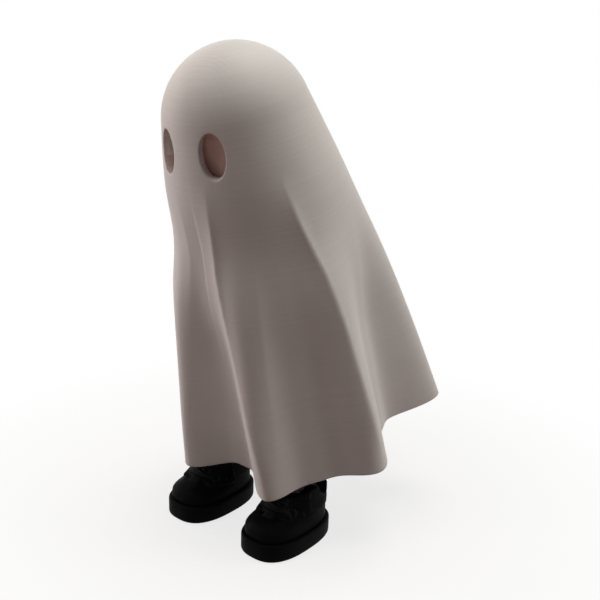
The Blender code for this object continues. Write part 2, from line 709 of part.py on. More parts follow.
def make_leg(figure, side, label):
    """A leg with its three pins, and its boot."""
    across = Vector((side * LEG_X, 0, 0))
    hip = across + body_to_world(HIP_BEHIND_AXIS, HIP_ABOVE_HEM)
    ankle = across + Vector((0, SHAFT_BEHIND_MIDDLE, ANKLE_HEIGHT))
    knee = knee_between(hip, ankle)
    make_thigh(f"thigh_{label}", figure, hip, knee)
    make_shin(f"shin_{label}", figure, knee, ankle)
    outer = KNUCKLE_HALF_WIDTH + FIT_GAP
    hip_ends = (-outer - HIP_PIN_IN_PELVIS, outer)
    knee_ends = (-KNUCKLE_HALF_WIDTH, outer)
    make_pin(f"hip_pin_{label}", figure, hip, HIP_PIN_RADIUS, hip_ends, side, True, LIMB_PLA)
    make_pin(f"knee_pin_{label}", figure, knee, KNEE_PIN_RADIUS, knee_ends, side, True, LIMB_PLA)
    ankle_ends = ankle_pin_ends()
    make_pin(
        f"ankle_pin_{label}", figure, ankle, ANKLE_PIN_RADIUS, ankle_ends, side, False, BLACK_PLA
    )
    boot = empty(f"boot_{label}", figure, across)
    make_sole(f"boot_sole_{label}", boot)
    make_upper(f"boot_upper_{label}", boot, side)
    make_laces(f"boot_laces_{label}", boot)
    make_pull_tab(f"pull_tab_{label}", boot)


def centre_on_floor(figure):
    """Moves the whole figure so that the middle of its outer box stands over the origin."""
    bpy.context.view_layer.update()
    graph = bpy.context.evaluated_depsgraph_get()
    places = []
    for piece in PARTS.objects:
        if piece.type == "EMPTY":
            continue
        solid = piece.evaluated_get(graph)
        places += [(solid.matrix_world @ vertex.co).y for vertex in solid.to_mesh().vertices]
        solid.to_mesh_clear()
    figure.location.y = -(min(places) + max(places)) / 2


def main():
    figure = empty("figure")
    body = empty("body", figure, (0, HEM_BEHIND_BOOTS, HEM_ABOVE_FLOOR), LEAN)
    make_sheet(body)
    make_head(body)
    make_neck_peg(body)
    make_torso(body)
    make_pelvis(body)
    for side, label in ((1, "left"), (-1, "right")):
        make_leg(figure, side, label)
    centre_on_floor(figure)


main()
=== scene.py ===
"""The looks of the articulated ghost figurine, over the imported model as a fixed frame.

Metres. The ghost faces -Y and its own left is +X. The sheet is modelled in the body frame, which
leans with the head: its origin is the middle of the sheet's hem and its Z is the head's axis.
"""

import json
import math

import bmesh
import bpy
from mathutils import Matrix, Vector


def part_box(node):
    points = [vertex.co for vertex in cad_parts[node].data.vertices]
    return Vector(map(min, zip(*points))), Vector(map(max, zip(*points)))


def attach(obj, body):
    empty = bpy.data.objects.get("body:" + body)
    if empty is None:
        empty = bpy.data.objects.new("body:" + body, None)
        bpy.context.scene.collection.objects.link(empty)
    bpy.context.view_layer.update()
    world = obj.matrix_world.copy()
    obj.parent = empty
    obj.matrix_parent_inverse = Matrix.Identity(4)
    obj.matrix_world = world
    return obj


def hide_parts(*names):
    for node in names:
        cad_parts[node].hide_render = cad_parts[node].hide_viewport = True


MM = 0.001

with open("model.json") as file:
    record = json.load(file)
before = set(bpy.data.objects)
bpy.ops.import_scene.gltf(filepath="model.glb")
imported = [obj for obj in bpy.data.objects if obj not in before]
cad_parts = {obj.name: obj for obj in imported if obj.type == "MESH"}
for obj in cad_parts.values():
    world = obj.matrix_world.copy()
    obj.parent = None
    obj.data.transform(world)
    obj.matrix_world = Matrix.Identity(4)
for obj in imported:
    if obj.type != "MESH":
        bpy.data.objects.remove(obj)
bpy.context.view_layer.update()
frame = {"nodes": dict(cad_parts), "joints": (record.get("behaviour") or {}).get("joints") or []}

# Camera, fitted to the photograph's outline
CAMERA_PLACE = Vector((148.25, -182.33, 133.00)) * MM
CAMERA_AZIMUTH = math.radians(38.92)
CAMERA_PITCH = math.radians(16.56)
CAMERA_ROLL = math.radians(1.72)
CAMERA_NEAR = 10.0 * MM
FOCAL_PIXELS = 840.07
FRAME_PIXELS = 600.0
SENSOR = 36.0

# Sheet, as in the CAD part
SHEET_HEIGHT = 114.3 * MM
SHEET_WALL = 2.4 * MM
DOME_RADIUS = 19.1 * MM
DOME_CENTRE = SHEET_HEIGHT - DOME_RADIUS
UNDERFORM_REACH = 40.7 * MM
UNDERFORM_SHIFT = 6.2 * MM
# Shares of the way down from the dome, between which the folds come in
FOLDS_START = 0.12
FOLDS_FULL = 0.65
FOLD_SHARPNESS = 2.0
BACK_BULGE = 2.2 * MM
FACE_TUCK = 1.9 * MM
FACE_TUCK_HEIGHT = 68.0 * MM
FACE_TUCK_REACH = 11.4 * MM
# Ridges and valleys in turn: degrees from the front, and the hem's distance from the axis
FOLD_LINES = (
    (0.0, 23.8 * MM),
    (26.6, 35.4 * MM),
    (53.0, 29.8 * MM),
    (80.7, 37.0 * MM),
    (111.0, 27.8 * MM),
    (136.0, 45.1 * MM),
    (158.0, 33.0 * MM),
    (180.0, 46.0 * MM),
)

# Creases along the folds' crests: the line's heights in mm and degrees from the front, how many mm
# it stands out on its own side and on the mirrored one, and over how many degrees it falls off
# towards the front and towards the back
CREASES = (
    (((0.0, 28.0), (63.0, 12.5), (88.0, 15.0)), (1.3, 0.3), (8.0, 4.5)),
    (((2.0, 33.5), (34.0, 35.0), (72.0, 39.0)), (0.35, 0.35), (5.0, 5.0)),
    (((0.0, 82.0), (43.0, 79.0), (60.0, 76.0), (74.0, 69.5), (88.0, 65.0)), (1.7, 1.7), (7.0, 8.0)),
)
CREASE_FADE = 20.0 * MM

# Sheet mesh
COLUMNS = 288
COLUMN_STEP = 360.0 / COLUMNS
SKIRT_TOP = 102.0 * MM
SKIRT_ROWS = 102
DOME_ROWS = 24
LEVEL_OFFSET_BELOW = 99.0 * MM
HEM_EDGE = 0.35 * MM
EDGE_STEPS = 4
NORMAL_SWING = 0.3
NORMAL_STEP = 0.3 * MM

# Eye holes, a little smaller than the CAD part's: degrees from the front, height over the hem
EYE_ANGLE = 22.6
EYE_HEIGHT = 92.4 * MM
EYE_WIDTH = 6.7 * MM
EYE_TALL = 11.0 * MM
EYE_EDGE = 0.3 * MM
EYE_RINGS = 7
# The patch of the sheet's mesh that one eye hole's rings take the place of
EYE_BLOCK_COLUMNS = (5, 31)
EYE_BLOCK_ROWS = (83, 101)

# Boots, from the middle of the sole: as in the CAD part, with a fuller shaft and a sloping collar
SOLE_LENGTH = 28.4 * MM
SOLE_WIDTH = 18.2 * MM
SOLE_THICKNESS = 5.2 * MM
SOLE_SQUARENESS = 2.6
WELT = 0.9 * MM
INSTEP_HEIGHT = 12.6 * MM
COLLAR_HEIGHT = 17.2 * MM
COLLAR_FRONT_HEIGHT = 15.3 * MM
COLLAR_BACK_HEIGHT = 15.6 * MM
COLLAR_PEAK = 4.0 * MM
SHAFT_BEHIND_MIDDLE = 5.2 * MM
SHAFT_LENGTH = 15.6 * MM
SHAFT_WIDTH = 14.8 * MM
ANKLE_HEIGHT = 10.6 * MM
WELL_LENGTH = 11.8 * MM
WELL_WIDTH = 8.8 * MM
WELL_SQUARENESS = 6.0
WELL_FLOOR = 6.5 * MM
TOE_CAP_LENGTH = 6.2 * MM
TOE_CAP_HEIGHT = 10.0 * MM
TOE_FULLNESS = 3.4
TOE_ROUNDNESS = 2.6
TOE_TAPER = 0.33
TOE_TAPER_FROM = 7.2 * MM
TOE_TAPER_BACK = 3.0 * MM
TOE_TAPER_FRONT = -9.0 * MM
NOTCH_RADIUS = 3.0 * MM
NOTCH_FROM_BACK = 4.6 * MM
TAB_WIDTH = 4.6 * MM
TAB_THICKNESS = 1.0 * MM
TAB_LENGTH = 8.2 * MM
TAB_TOP = 17.4 * MM
TAB_GAP = 0.3 * MM
SHAFT_FRONT = SHAFT_BEHIND_MIDDLE - SHAFT_LENGTH / 2
SHAFT_BACK = SHAFT_BEHIND_MIDDLE + SHAFT_LENGTH / 2
TOE_FRONT = -SOLE_LENGTH / 2 + WELT
TOE_CAP_BACK = TOE_FRONT + TOE_CAP_LENGTH
UPPER_WIDTH = SOLE_WIDTH - 2 * WELT

# Boot details, by the photograph
SOLE_TREAD_EDGE = 0.8 * MM
SOLE_TOP_EDGE = 0.7 * MM
SOLE_TOP_INSET = 2.2 * WELT
WELT_GROOVE_TOP = 5.7 * MM
WELT_GROOVE_DEPTH = 0.25 * MM
INSTEP_FILLET = 1.5 * MM
INSTEP_FILLET_TALL = 2.2 * MM
SEAM_BEHIND_TOE = 6.8 * MM
FLAP_RISE = 0.65 * MM
FLAP_BOTTOM = 8.9 * MM
FLAP_BEHIND_TOE = 15.2 * MM
FLAP_EDGE = 0.45 * MM
COLLAR_ROLL = 0.6 * MM
TONGUE_HALF_WIDTH = 2.7 * MM
TONGUE_END_WIDTH = 0.85
TONGUE_WRAP = 0.9
TONGUE_RISE = 1.0 * MM
TONGUE_SINK = 0.1 * MM
TONGUE_DEPTH = 0.5 * MM
TONGUE_ABOVE_COLLAR = 0.1 * MM
TONGUE_UNDER_CAP = 0.05 * MM
TONGUE_END_SQUARENESS = 8
TONGUE_SIDE_SQUARENESS = 6
TAB_END_LENGTH = 0.5 * MM
TAB_END_THICKNESS = 0.25
TAB_END_WIDTH = 0.94
TAB_SQUARENESS = 5.0

# Boot meshes
BOOT_TURNS = 120
SOLE_EDGE_STEPS = 5
TOE_ROWS = 33
TOE_ROW_CROWDING = 3
INSTEP_ROWS = 14
SHAFT_ROWS = 10
COLLAR_STEPS = 8
TONGUE_ROWS = 36
TONGUE_COLUMNS = 12
TAB_ROWS = 24
TAB_TURNS = 32
UPPER_SWING = 0.02
UPPER_STEP = 0.04 * MM
UPPER_TILT = 0.4

# Laces
LACE_RADIUS = 0.45 * MM
LACE_SIDES = 10
LACE_TIP = 0.6
LACE_SINK = 0.2 * MM
LACE_ARCH_FULLNESS = 0.6
LOWER_CROSSING_LIFT = 0.1 * MM
UPPER_CROSSING_LIFT = 0.4 * MM
CROSSING_STEPS = 20
EYELET_RADIUS = 0.62 * MM
EYELET_TUBE = 0.17 * MM
EYELET_LIFT = 0.05 * MM
EYELET_TURNS = 20
EYELET_SIDES = 8
BOW_KNOT_RADIUS = 0.95 * MM
BOW_KNOT_TURNS = 20
BOW_KNOT_ROWS = 12
BOW_STEPS = 8
# Each eyelet of one side, from the toe up: degrees round from the toe, and height
EYELETS = (
    (35.0, 10.9 * MM),
    (33.0, 11.8 * MM),
    (29.0, 12.7 * MM),
    (25.0, 13.5 * MM),
    (24.0, 14.1 * MM),
)
# The bow: its knot, and on one side the points that its loop and its loose end hang through, in mm
BOW_KNOT = (0.0, -4.2, 13.0)
BOW_LOOP = (
    (2.2, -4.9, 12.9),
    (4.4, -4.4, 11.3),
    (5.7, -4.5, 10.1),
    (5.9, -3.4, 10.3),
    (5.0, -2.6, 11.9),
)
BOW_END = ((2.6, -3.2, 13.4), (5.2, -1.5, 12.5), (6.8, -1.0, 11.0), (7.5, -1.3, 9.3))

# Print: layers, uneven bands of layers (cells per metre along and across them), and soft mottling.
# The wave texture turns 20 radians over one unit of its scale.
LAYER = 0.2 * MM
WAVE_RADIANS = 20.0
LAYER_WOBBLE = 0.6
BAND_CELLS = (6.0, 6.0, 1600.0)
BAND_BUMP = 1.5
MOTTLE_CELLS = 70.0
MOTTLE_TINT = (1.0, 1.1, 1.25)
ROUGHNESS_SPREAD = 0.08
PRINT_EDGE = 0.2 * MM
PRINT_EDGE_STEPS = 2
SHARP_EDGE = math.radians(50.0)

# Stage
FLOOR_HALF = 3.0
FLOOR_ROUGHNESS = 0.9
FLOOR_BOUNCE = (0.15, 0.10, 0.095, 1.0)
FLOOR_WHITE_FROM = 40.0 * MM
FLOOR_WHITE_FULL = 130.0 * MM
FLOOR_WHITE_NEAR = 0.76
SURROUND_COLOUR = (1.0, 0.72, 0.66, 1.0)
SURROUND_STRENGTH = 0.03
WHITE = (1.0, 1.0, 1.0, 1.0)
LAMP_AIM = Vector((0.0, 0.0, 70.0)) * MM
# Each lamp's name, place in metres, side in metres, watts and colour
LAMPS = (
    ("top", (0.02, 0.04, 0.70), 0.35, 2.1, (1.0, 0.97, 0.92)),
    ("right", (0.60, 0.46, 0.30), 0.35, 2.0, (1.0, 0.97, 0.92)),
    ("left", (-0.64, -0.24, 0.17), 0.3, 1.6, (1.0, 0.9, 0.86)),
    ("front", (-0.22, -0.50, 0.60), 0.3, 1.05, (1.0, 0.92, 0.88)),
)

# The leaning frame of head and sheet, from the joint that the head turns on
head_turn = next(joint for joint in frame["joints"] if joint["name"] == "head_turn")
LEAN = math.atan2(-head_turn["axis"][1], head_turn["axis"][2])
BODY_FRAME = Matrix.Translation(head_turn["pos_m"]) @ Matrix.Rotation(LEAN, 4, "X")


# Materials


def add_node(tree, kind, inputs=None, **settings):
    """A shader node with its settings, and each input as a value or as another node's output."""
    node = tree.nodes.new(f"ShaderNode{kind}")
    for name, value in settings.items():
        setattr(node, name, value)
    for name, value in (inputs or {}).items():
        if isinstance(value, bpy.types.NodeSocket):
            tree.links.new(value, node.inputs[name])
        else:
            node.inputs[name].default_value = value
    return node


def node_material(name):
    """A new material, its node tree and its main shader."""
    material = bpy.data.materials.new(name)
    material.use_nodes = True
    return material, material.node_tree, material.node_tree.nodes["Principled BSDF"]


def printed_plastic(name, colour, roughness, layer_depth, streaks, mottle, lean=0.0, gloss=0.5):
    """Plastic laid down in layers: fine lines, streaks where layers differ, soft mottling."""
    material, tree, shader = node_material(name)
    object_place = add_node(tree, "TexCoord").outputs["Object"]
    upright = {"Vector": object_place, "Rotation": (-lean, 0, 0)}
    place = add_node(tree, "Mapping", upright).outputs["Vector"]
    lines = add_node(
        tree,
        "TexWave",
        {
            "Vector": place,
            "Scale": 2 * math.pi / (WAVE_RADIANS * LAYER),
            "Distortion": LAYER_WOBBLE,
            "Detail": 1.0,
            "Detail Scale": 0.02,
        },
        wave_type="BANDS",
        bands_direction="Z",
    ).outputs["Fac"]
    flat = add_node(tree, "Mapping", {"Vector": place, "Scale": BAND_CELLS}).outputs["Vector"]
    banding = {"Vector": flat, "Scale": 1.0, "Detail": 3.0, "Roughness": 0.65}
    bands = add_node(tree, "TexNoise", banding).outputs["Fac"]
    mottling = {"Vector": place, "Scale": MOTTLE_CELLS, "Detail": 4.0}
    cloud = add_node(tree, "TexNoise", mottling).outputs["Fac"]

    def shade(factor):
        return (*(min(channel * factor, 1.0) for channel in colour), 1.0)

    tint = (*(1 - mottle * share for share in MOTTLE_TINT), 1.0)
    streaked = {"Factor": bands, "A": shade(1.0 - streaks), "B": shade(1.0 + streaks)}
    by_band = add_node(tree, "Mix", streaked, data_type="RGBA").outputs["Result"]
    mottled = {"Factor": cloud, "A": by_band, "B": tint}
    by_cloud = add_node(tree, "Mix", mottled, data_type="RGBA", blend_type="MULTIPLY")
    spread = {
        "Value": bands,
        "To Min": roughness - ROUGHNESS_SPREAD,
        "To Max": roughness + ROUGHNESS_SPREAD,
    }
    rough = add_node(tree, "MapRange", spread)
    line_relief = {"Strength": 1.0, "Distance": layer_depth, "Height": lines}
    line_bump = add_node(tree, "Bump", line_relief)
    band_relief = {
        "Strength": 1.0,
        "Distance": BAND_BUMP * layer_depth,
        "Height": bands,
        "Normal": line_bump.outputs["Normal"],
    }
    band_bump = add_node(tree, "Bump", band_relief)
    shader.inputs["Specular IOR Level"].default_value = gloss
    tree.links.new(by_cloud.outputs["Result"], shader.inputs["Base Color"])
    tree.links.new(rough.outputs["Result"], shader.inputs["Roughness"])
    tree.links.new(band_bump.outputs["Normal"], shader.inputs["Normal"])
    return material


SHEET_WHITE = printed_plastic(
    "printed_white",
    (0.83, 0.80, 0.77),
    roughness=0.55,
    layer_depth=0.024 * MM,
    streaks=0.07,
    mottle=0.05,
    lean=LEAN,
)
LIMB_WHITE = printed_plastic(
    "printed_limb_white",
    (0.80, 0.78, 0.75),
    roughness=0.52,
    layer_depth=0.02 * MM,
    streaks=0.04,
    mottle=0.05,
)
SALMON = printed_plastic(
    "printed_salmon",
    (0.96, 0.66, 0.58),
    roughness=0.6,
    layer_depth=0.02 * MM,
    streaks=0.05,
    mottle=0.06,
    lean=LEAN,
)
BOOT_BLACK = printed_plastic(
    "printed_black",
    (0.0015, 0.0015, 0.002),
    roughness=0.55,
    layer_depth=0.015 * MM,
    streaks=0.25,
    mottle=0.1,
    gloss=0.025,
)
LACE_BLACK = printed_plastic(
    "printed_lace_black",
    (0.003, 0.003, 0.004),
    roughness=0.6,
    layer_depth=0.01 * MM,
    streaks=0.2,
    mottle=0.1,
    gloss=0.06,
)


# Mesh helpers


def add_piece(name, bm, material, body, place=Matrix.Identity(4), replaced=()):
    """Turns a bmesh into a smooth piece that rides on a CAD body and stands for its nodes."""
    bmesh.ops.transform(bm, matrix=place, verts=bm.verts)
    bmesh.ops.recalc_face_normals(bm, faces=bm.faces)
    mesh = bpy.data.meshes.new(name)
    bm.to_mesh(mesh)
    bm.free()
    mesh.materials.append(material)
    mesh.shade_smooth()
    piece = bpy.data.objects.new(name, mesh)
    bpy.context.scene.collection.objects.link(piece)
    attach(piece, body)
    if replaced:
        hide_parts(*replaced)


def bridge(bm, first, second):
    """Quads between two closed rings of vertices with equal counts."""
    count = len(first)
    for k in range(count):
        after = (k + 1) % count
        bm.faces.new((first[k], first[after], second[after], second[k]))


def add_rings(bm, rings):
    """A closed skin through rings of points, with a flat face over each end."""
    loops = [[bm.verts.new(point) for point in ring] for ring in rings]
    for first, second in zip(loops, loops[1:]):
        bridge(bm, first, second)
    bm.faces.new(loops[0])
    bm.faces.new(loops[-1])


def ringed_mesh(rings):
    """A new mesh of one closed skin."""
    bm = bmesh.new()
    add_rings(bm, rings)
    return bm


def quarter_turns(steps):
    """The turns from 0 to 90 degrees that round off an edge."""
    return [math.pi / 2 * k / steps for k in range(steps + 1)]


def turns_round(count=BOOT_TURNS):
    """Even turns once round a ring."""
    return [2 * math.pi * k / count for k in range(count)]


def smoothstep(value, low, high):
    """Rises softly from 0 at one value to 1 at another."""
    t = min(max((value - low) / (high - low), 0.0), 1.0)
    return t * t * (3 - 2 * t)


# The sheet


def hem_reach(angle, sharpness):
    """How far the hem stands from the sheet's axis at an angle from the front, in degrees."""
    folded = abs((angle + 180.0) % 360.0 - 180.0)
    for (start, first), (end, second) in zip(FOLD_LINES, FOLD_LINES[1:]):
        if folded <= end:
            break
    share = (folded - start) / (end - start)
    climb = share if first < second else 1 - share
    low, high = min(first, second), max(first, second)
    return low + (high - low) * (0.5 - 0.5 * math.cos(math.pi * climb)) ** sharpness


def sheet_radius(angle, height):
    """The sheet's outer radius at an angle from the front, in degrees, and a height over the hem."""
    drop = min(max(1 - height / DOME_CENTRE, 0.0), 1.0)
    gather = smoothstep(drop, FOLDS_START, FOLDS_FULL)
    under = UNDERFORM_REACH - UNDERFORM_SHIFT * math.cos(math.radians(angle))
    folded = hem_reach(angle, 1 + (FOLD_SHARPNESS - 1) * drop)
    reach = under + (folded - under) * gather
    span = math.hypot(reach, DOME_CENTRE)
    rise = math.acos(DOME_RADIUS / span) - math.atan2(DOME_CENTRE, reach)
    meet = DOME_CENTRE + DOME_RADIUS * math.sin(rise)
    if height >= meet:
        return math.sqrt(max(DOME_RADIUS**2 - (height - DOME_CENTRE) ** 2, 0.0))
    slope = DOME_RADIUS * math.cos(rise) + (meet - height) * math.tan(rise)
    back_share = 0.5 - 0.5 * math.cos(math.radians(angle))
    bulge = BACK_BULGE * math.sin(math.pi * min((meet - height) / meet, 1.0))
    tuck = FACE_TUCK * math.exp(-(((height - FACE_TUCK_HEIGHT) / FACE_TUCK_REACH) ** 2))
    return slope + back_share * bulge - (1 - back_share) * tuck


def crease_line(line, height):
    """The angle at which a crease's line stands at a height."""
    for (low, first), (high, second) in zip(line, line[1:]):
        if height <= high * MM:
            break
    share = min(max((height / MM - low) / (high - low), 0.0), 1.0)
    return first + (second - first) * share


def crease_rise(angle, height):
    """How far the sharp creases along the folds' crests stand out."""
    turned = (angle + 180.0) % 360.0 - 180.0
    rise = 0.0
    for line, (own_size, mirrored_size), (inwards, outwards) in CREASES:
        away = abs(turned) - crease_line(line, height)
        here = smoothstep(line[-1][0] * MM - height, 0.0, CREASE_FADE)
        here *= smoothstep(height, 0.0, CREASE_FADE)
        size = own_size if turned > 0 else mirrored_size
        rise += size * MM * here * math.exp(-abs(away) / (inwards if away < 0 else outwards))
    return rise


def sheet_point(angle, height):
    """A point of the sheet's outer surface."""
    radius = sheet_radius(angle, height) + crease_rise(angle, height)
    turn = math.radians(angle)
    return Vector((radius * math.sin(turn), -radius * math.cos(turn), height))


def sheet_normal(angle, height):
    """The direction straight out of the sheet's outer surface."""
    if height > SKIRT_TOP:
        return (sheet_point(angle, height) - Vector((0, 0, DOME_CENTRE))).normalized()
    around = sheet_point(angle + NORMAL_SWING, height) - sheet_point(angle - NORMAL_SWING, height)
    up = sheet_point(angle, height + NORMAL_STEP) - sheet_point(angle, height - NORMAL_STEP)
    return around.cross(up).normalized()


def inner_point(angle, height):
    """The inner surface's point, level with the outer one except over the dome."""
    normal = sheet_normal(angle, height)
    point = sheet_point(angle, height)
    if height > LEVEL_OFFSET_BELOW:
        return point - SHEET_WALL * normal
    level = Vector((normal.x, normal.y, 0))
    return point - level * (SHEET_WALL / level.length_squared)


def sheet_heights():
    """The rows' heights, from the hem's edge up to the last ring under the dome's top."""
    heights = [HEM_EDGE] + [SKIRT_TOP * k / SKIRT_ROWS for k in range(1, SKIRT_ROWS + 1)]
    start = math.asin((SKIRT_TOP - DOME_CENTRE) / DOME_RADIUS)
    for k in range(1, DOME_ROWS):
        rise = start + (math.pi / 2 - start) * k / DOME_ROWS
        heights.append(DOME_CENTRE + DOME_RADIUS * math.sin(rise))
    return heights


def eye_blocks():
    """The two patches of grid cells that the eye holes' own rings take the place of."""
    low, high = EYE_BLOCK_COLUMNS
    return ((EYE_ANGLE, low, high), (-EYE_ANGLE, COLUMNS - high, COLUMNS - low))


def in_eye_block(row, column):
    """Whether a cell of the sheet's grid lies in one of the two patches."""
    low_row, high_row = EYE_BLOCK_ROWS
    return low_row <= row < high_row and any(
        low <= column < high for _, low, high in eye_blocks()
    )


def sheet_grid(bm, point_at, heights):
    """One of the sheet's two surfaces, with its eye blocks left open. Returns its vertex grid."""
    grid = {}

    def vertex(row, column):
        key = (row, column % COLUMNS)
        if key not in grid:
            grid[key] = bm.verts.new(point_at(key[1] * COLUMN_STEP, heights[row]))
        return grid[key]

    for row in range(len(heights) - 1):
        for column in range(COLUMNS):
            if not in_eye_block(row, column):
                bm.faces.new(
                    (
                        vertex(row, column),
                        vertex(row, column + 1),
                        vertex(row + 1, column + 1),
                        vertex(row + 1, column),
                    )
                )
    top = bm.verts.new(point_at(0.0, SHEET_HEIGHT))
    last = len(heights) - 1
    for column in range(COLUMNS):
        bm.faces.new((vertex(last, column), vertex(last, column + 1), top))
    return grid


def eye_oval(centre, turn, grow):
    """Angle and height of the eye hole's edge, grown by a margin, at a turn about its middle."""
    height = EYE_HEIGHT + (EYE_TALL / 2 + grow) * math.sin(turn)
    across = (EYE_WIDTH / 2 + grow) * math.cos(turn)
    return centre + math.degrees(math.asin(across / sheet_radius(centre, height))), height


def add_eye_hole(bm, outer, inner, heights, centre, low, high):
    """The rings from an eye block's edge to the oval, over its rounded lip and through the wall."""
    low_row, high_row = EYE_BLOCK_ROWS
    border = [(low_row, column) for column in range(low, high)]
    border += [(row, high) for row in range(low_row, high_row)]
    border += [(high_row, column) for column in range(high, low, -1)]
    border += [(row, low) for row in range(high_row, low_row, -1)]
    middle_column = (low + high) / 2
    middle_row = (low_row + high_row) / 2
    turns = []
    for row, column in border:
        across = (column - middle_column) / (high - low)
        turns.append(math.atan2((row - middle_row) / (high_row - low_row), across))
    facing = math.radians(centre)
    axis = Vector((math.sin(facing), -math.cos(facing), 0))

    def border_angle(column):
        angle = column * COLUMN_STEP
        return angle - 360.0 if angle > 180.0 else angle

    def eased(share, row, column, turn, grow):
        start = (border_angle(column), heights[row])
        end = eye_oval(centre, turn, grow)
        return [a + (b - a) * share for a, b in zip(start, end)]

    rings = [[outer[row, column % COLUMNS] for row, column in border]]
    for k in range(1, EYE_RINGS + 1):
        ring = []
        for (row, column), turn in zip(border, turns):
            angle, height = eased(k / EYE_RINGS, row, column, turn, EYE_EDGE)
            ring.append(bm.verts.new(sheet_point(angle, height)))
        rings.append(ring)
    for bend in quarter_turns(EDGE_STEPS)[1:]:
        ring = []
        for turn in turns:
            angle, height = eye_oval(centre, turn, EYE_EDGE * (1 - math.sin(bend)))
            depth = EYE_EDGE * (1 - math.cos(bend))
            ring.append(bm.verts.new(sheet_point(angle, height) - axis * depth))
        rings.append(ring)
    ring = []
    for turn in turns:
        angle, height = eye_oval(centre, turn, 0.0)
        depth = SHEET_WALL / sheet_normal(angle, height).dot(axis)
        ring.append(bm.verts.new(sheet_point(angle, height) - axis * depth))
    rings.append(ring)
    for k in range(EYE_RINGS - 1, 0, -1):
        ring = []
        for (row, column), turn in zip(border, turns):
            angle, height = eased(k / EYE_RINGS, row, column, turn, 0.0)
            ring.append(bm.verts.new(inner_point(angle, height)))
        rings.append(ring)
    rings.append([inner[row, column % COLUMNS] for row, column in border])
    for first, second in zip(rings, rings[1:]):
        bridge(bm, first, second)


def add_hem(bm, outer, inner):
    """The hem: flat underneath, as it stood on the print bed, with two rounded edges."""
    rings = [[outer[0, column] for column in range(COLUMNS)]]
    bends = quarter_turns(EDGE_STEPS)[1:]
    for surface, side, bends_along in ((sheet_point, -1, bends), (inner_point, 1, bends[::-1])):
        for bend in bends_along:
            ring = []
            for column in range(COLUMNS):
                angle = column * COLUMN_STEP
                normal = sheet_normal(angle, HEM_EDGE)
                level = Vector((normal.x, normal.y, 0)).normalized()
                point = surface(angle, HEM_EDGE) + side * level * HEM_EDGE * (1 - math.cos(bend))
                point.z = HEM_EDGE * (1 - math.sin(bend))
                ring.append(bm.verts.new(point))
            rings.append(ring)
    rings.append([inner[0, column] for column in range(COLUMNS)])
    for first, second in zip(rings, rings[1:]):
        bridge(bm, first, second)


def make_sheet():
    """The draped sheet: its outer and inner surface, both eye holes and the hem."""
    bm = bmesh.new()
    heights = sheet_heights()
    outer = sheet_grid(bm, sheet_point, heights)
    inner = sheet_grid(bm, inner_point, heights)
    for centre, low, high in eye_blocks():
        add_eye_hole(bm, outer, inner, heights, centre, low, high)
    add_hem(bm, outer, inner)
    add_piece("draped_sheet", bm, SHEET_WHITE, "sheet", BODY_FRAME, replaced=["sheet"])


# The boots


def oblong_point(turn, front, back, half_width, height, squareness):
    """A point of a rounded oblong in a level plane, turned from its front about its middle."""
    across = math.copysign(abs(math.sin(turn)) ** (2 / squareness), math.sin(turn))
    along = math.copysign(abs(math.cos(turn)) ** (2 / squareness), math.cos(turn))
    return Vector((half_width * across, (front + back) / 2 - along * (back - front) / 2, height))


def plain_upper(height, turn):
    """The boot upper's surface without its seams, with a soft bend from instep to shaft."""
    rise = min(max((height - SOLE_THICKNESS) / (INSTEP_HEIGHT - SOLE_THICKNESS), 0.0), 1.0)
    half_width = SHAFT_WIDTH / 2 + (UPPER_WIDTH - SHAFT_WIDTH) / 2 * (1 - rise**2)
    cap_rise = (height - SOLE_THICKNESS) / (TOE_CAP_HEIGHT - SOLE_THICKNESS)
    cap_rise = min(max(cap_rise, 0.0), 1.0)
    front = TOE_CAP_BACK
    front += (TOE_FRONT - TOE_CAP_BACK) * (1 - cap_rise**TOE_FULLNESS) ** (1 / TOE_ROUNDNESS)
    if height > TOE_CAP_HEIGHT:
        share = min((height - TOE_CAP_HEIGHT) / (INSTEP_HEIGHT - TOE_CAP_HEIGHT), 1.0)
        front += (SHAFT_FRONT - TOE_CAP_BACK) * share
    above = min(max((height - INSTEP_HEIGHT) / INSTEP_FILLET_TALL, 0.0), 1.0)
    front = min(front, SHAFT_FRONT - INSTEP_FILLET * (1 - above) ** 2)
    point = oblong_point(turn, front, SHAFT_BACK, half_width, height, SOLE_SQUARENESS)
    taper = smoothstep(height, TOE_TAPER_FROM, TOE_CAP_HEIGHT)
    taper *= smoothstep(-point.y, -TOE_TAPER_BACK, -TOE_TAPER_FRONT)
    point.x *= 1 - TOE_TAPER * taper
    return point


def upper_normal(height, turn):
    """The direction straight out of the boot upper."""
    along = plain_upper(height, turn + UPPER_SWING) - plain_upper(height, turn - UPPER_SWING)
    up = plain_upper(height + UPPER_STEP, turn) - plain_upper(height - UPPER_STEP, turn)
    normal = along.cross(up).normalized()
    outward = Vector((math.sin(turn), -math.cos(turn), UPPER_TILT))
    return normal if normal.dot(outward) > 0 else -normal


def upper_point(height, turn, raised=0.0):
    """The upper's surface with its seams: the welt groove, the toe cap's edge and the lace flaps."""
    point = plain_upper(height, turn)
    behind_toe = point.y - TOE_FRONT
    groove = WELT_GROOVE_DEPTH * (1 - smoothstep(height, SOLE_THICKNESS, WELT_GROOVE_TOP))
    flap = smoothstep(behind_toe, SEAM_BEHIND_TOE, SEAM_BEHIND_TOE + FLAP_EDGE)
    flap *= smoothstep(height, FLAP_BOTTOM, FLAP_BOTTOM + FLAP_EDGE)
    flap *= smoothstep(FLAP_BEHIND_TOE - behind_toe, 0.0, FLAP_EDGE)
    return point + upper_normal(height, turn) * (FLAP_RISE * flap - groove + raised)


